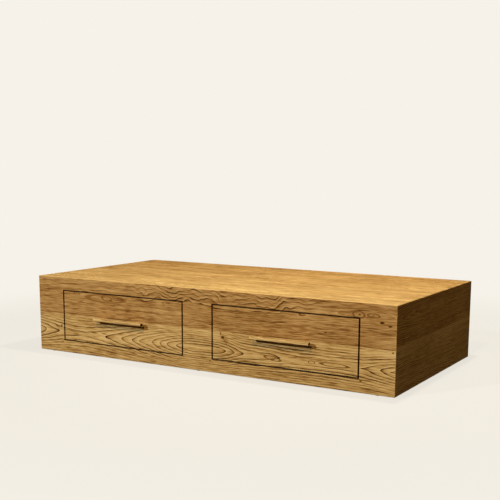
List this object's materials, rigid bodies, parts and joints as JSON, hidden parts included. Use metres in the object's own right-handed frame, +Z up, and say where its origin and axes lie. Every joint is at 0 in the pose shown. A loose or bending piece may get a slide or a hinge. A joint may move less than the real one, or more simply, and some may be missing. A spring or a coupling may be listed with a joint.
{
  "type": "platform bed with storage drawers",
  "caption": "Low mitred hardwood platform bed with inset, grain-matched drawers on full-extension slides and slim wooden bar pulls.",
  "frame": {"origin": "on the floor, under the middle of the whole bed, bar pulls included", "axes": "+X along the bed's length, -Y the way the drawers open, +Z up"},
  "size_m": [2.032, 1.054, 0.4],
  "materials": {
    "show_cherry": "oiled solid hardwood, golden brown, satin, boards edge-glued, grain along the bed",
    "drawer_maple": "pale solid maple, clear lacquer, satin",
    "birch_plywood": "sanded birch plywood, clear lacquer",
    "inner_beech": "planed beech, unfinished",
    "slide_steel": "rolled steel, bright zinc plate",
    "screw_steel": "zinc plated steel",
    "glide_nylon": "moulded nylon, off-white, matt"
  },
  "bodies": {
    "bed_frame": {"back_cleat": "inner_beech", "back_panel": "show_cherry", "cabinet_slide_screws": "screw_steel", "cleat_screws": "screw_steel", "corner_block_back_left": "inner_beech", "corner_block_back_right": "inner_beech", "corner_block_front_left": "inner_beech", "corner_block_front_right": "inner_beech", "drawer_1_left_cabinet_member": "slide_steel", "drawer_1_right_cabinet_member": "slide_steel", "drawer_2_left_cabinet_member": "slide_steel", "drawer_2_right_cabinet_member": "slide_steel", "floor_glides": "glide_nylon", "front_cleat": "inner_beech", "front_panel": "show_cherry", "left_side_panel": "show_cherry", "partition_1_left": "birch_plywood", "partition_1_right": "birch_plywood", "partition_2_left": "birch_plywood", "partition_2_right": "birch_plywood", "partition_dowels": "inner_beech", "right_side_panel": "show_cherry", "top_panel": "show_cherry"},
    "drawer_1": {"drawer_1_box_back": "drawer_maple", "drawer_1_box_bottom": "birch_plywood", "drawer_1_box_front": "drawer_maple", "drawer_1_box_left": "drawer_maple", "drawer_1_box_right": "drawer_maple", "drawer_1_front": "show_cherry", "drawer_1_front_screws": "screw_steel", "drawer_1_handle_bar": "show_cherry", "drawer_1_handle_left_post": "show_cherry", "drawer_1_handle_right_post": "show_cherry", "drawer_1_handle_screws": "screw_steel", "drawer_1_left_drawer_member": "slide_steel", "drawer_1_right_drawer_member": "slide_steel", "drawer_1_slide_screws": "screw_steel"},
    "drawer_1_middle_members": {"drawer_1_left_middle_member": "slide_steel", "drawer_1_right_middle_member": "slide_steel"},
    "drawer_1_outer_cages": {"drawer_1_outer_cages": "slide_steel"},
    "drawer_1_inner_cages": {"drawer_1_inner_cages": "slide_steel"},
    "drawer_2": {"drawer_2_box_back": "drawer_maple", "drawer_2_box_bottom": "birch_plywood", "drawer_2_box_front": "drawer_maple", "drawer_2_box_left": "drawer_maple", "drawer_2_box_right": "drawer_maple", "drawer_2_front": "show_cherry", "drawer_2_front_screws": "screw_steel", "drawer_2_handle_bar": "show_cherry", "drawer_2_handle_left_post": "show_cherry", "drawer_2_handle_right_post": "show_cherry", "drawer_2_handle_screws": "screw_steel", "drawer_2_left_drawer_member": "slide_steel", "drawer_2_right_drawer_member": "slide_steel", "drawer_2_slide_screws": "screw_steel"},
    "drawer_2_middle_members": {"drawer_2_left_middle_member": "slide_steel", "drawer_2_right_middle_member": "slide_steel"},
    "drawer_2_outer_cages": {"drawer_2_outer_cages": "slide_steel"},
    "drawer_2_inner_cages": {"drawer_2_inner_cages": "slide_steel"}
  },
  "joints": [
    {"name": "drawer_1_slide", "type": "slide", "parent": "bed_frame", "child": "drawer_1", "axis": [0, -1, 0], "range_m": [0, 0.68]},
    {"name": "drawer_1_middle_slide", "type": "slide", "parent": "bed_frame", "child": "drawer_1_middle_members", "axis": [0, -1, 0], "range_m": [0, 0.34]},
    {"name": "drawer_1_outer_cage_roll", "type": "slide", "parent": "bed_frame", "child": "drawer_1_outer_cages", "axis": [0, -1, 0], "range_m": [0, 0.17]},
    {"name": "drawer_1_inner_cage_roll", "type": "slide", "parent": "bed_frame", "child": "drawer_1_inner_cages", "axis": [0, -1, 0], "range_m": [0, 0.51]},
    {"name": "drawer_2_slide", "type": "slide", "parent": "bed_frame", "child": "drawer_2", "axis": [0, -1, 0], "range_m": [0, 0.68]},
    {"name": "drawer_2_middle_slide", "type": "slide", "parent": "bed_frame", "child": "drawer_2_middle_members", "axis": [0, -1, 0], "range_m": [0, 0.34]},
    {"name": "drawer_2_outer_cage_roll", "type": "slide", "parent": "bed_frame", "child": "drawer_2_outer_cages", "axis": [0, -1, 0], "range_m": [0, 0.17]},
    {"name": "drawer_2_inner_cage_roll", "type": "slide", "parent": "bed_frame", "child": "drawer_2_inner_cages", "axis": [0, -1, 0], "range_m": [0, 0.51]}
  ],
  "couplings": [
    {"joint": "drawer_1_middle_slide", "follows": "drawer_1_slide", "ratio": 0.5},
    {"joint": "drawer_1_outer_cage_roll", "follows": "drawer_1_slide", "ratio": 0.25},
    {"joint": "drawer_1_inner_cage_roll", "follows": "drawer_1_slide", "ratio": 0.75},
    {"joint": "drawer_2_middle_slide", "follows": "drawer_2_slide", "ratio": 0.5},
    {"joint": "drawer_2_outer_cage_roll", "follows": "drawer_2_slide", "ratio": 0.25},
    {"joint": "drawer_2_inner_cage_roll", "follows": "drawer_2_slide", "ratio": 0.75}
  ]
}
